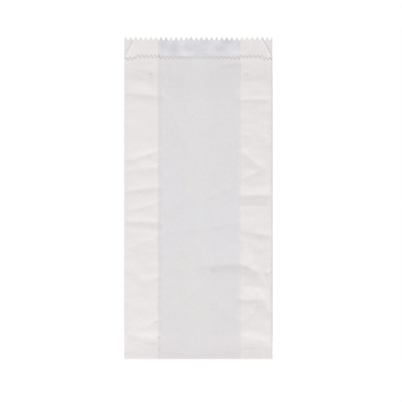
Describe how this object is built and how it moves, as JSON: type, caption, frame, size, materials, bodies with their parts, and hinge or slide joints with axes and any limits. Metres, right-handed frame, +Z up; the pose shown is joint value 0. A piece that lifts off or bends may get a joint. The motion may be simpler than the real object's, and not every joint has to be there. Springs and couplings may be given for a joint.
{
  "type": "paper snack bag",
  "caption": "Flat white paper snack bag with side gussets, a toothed back edge, a shorter zigzag front lip and a glued bottom flap.",
  "frame": {"origin": "centre of the bag's outline, on the surface it lies on", "axes": "+Y along the bag towards its open mouth, +X across it, +Z up out of the front panel"},
  "size_m": [0.11, 0.24, 0.002],
  "materials": {
    "white_paper": "smooth unprinted white paper, slightly see-through"
  },
  "bodies": {
    "root": {"paper_bag": "white_paper"}
  },
  "joints": []
}
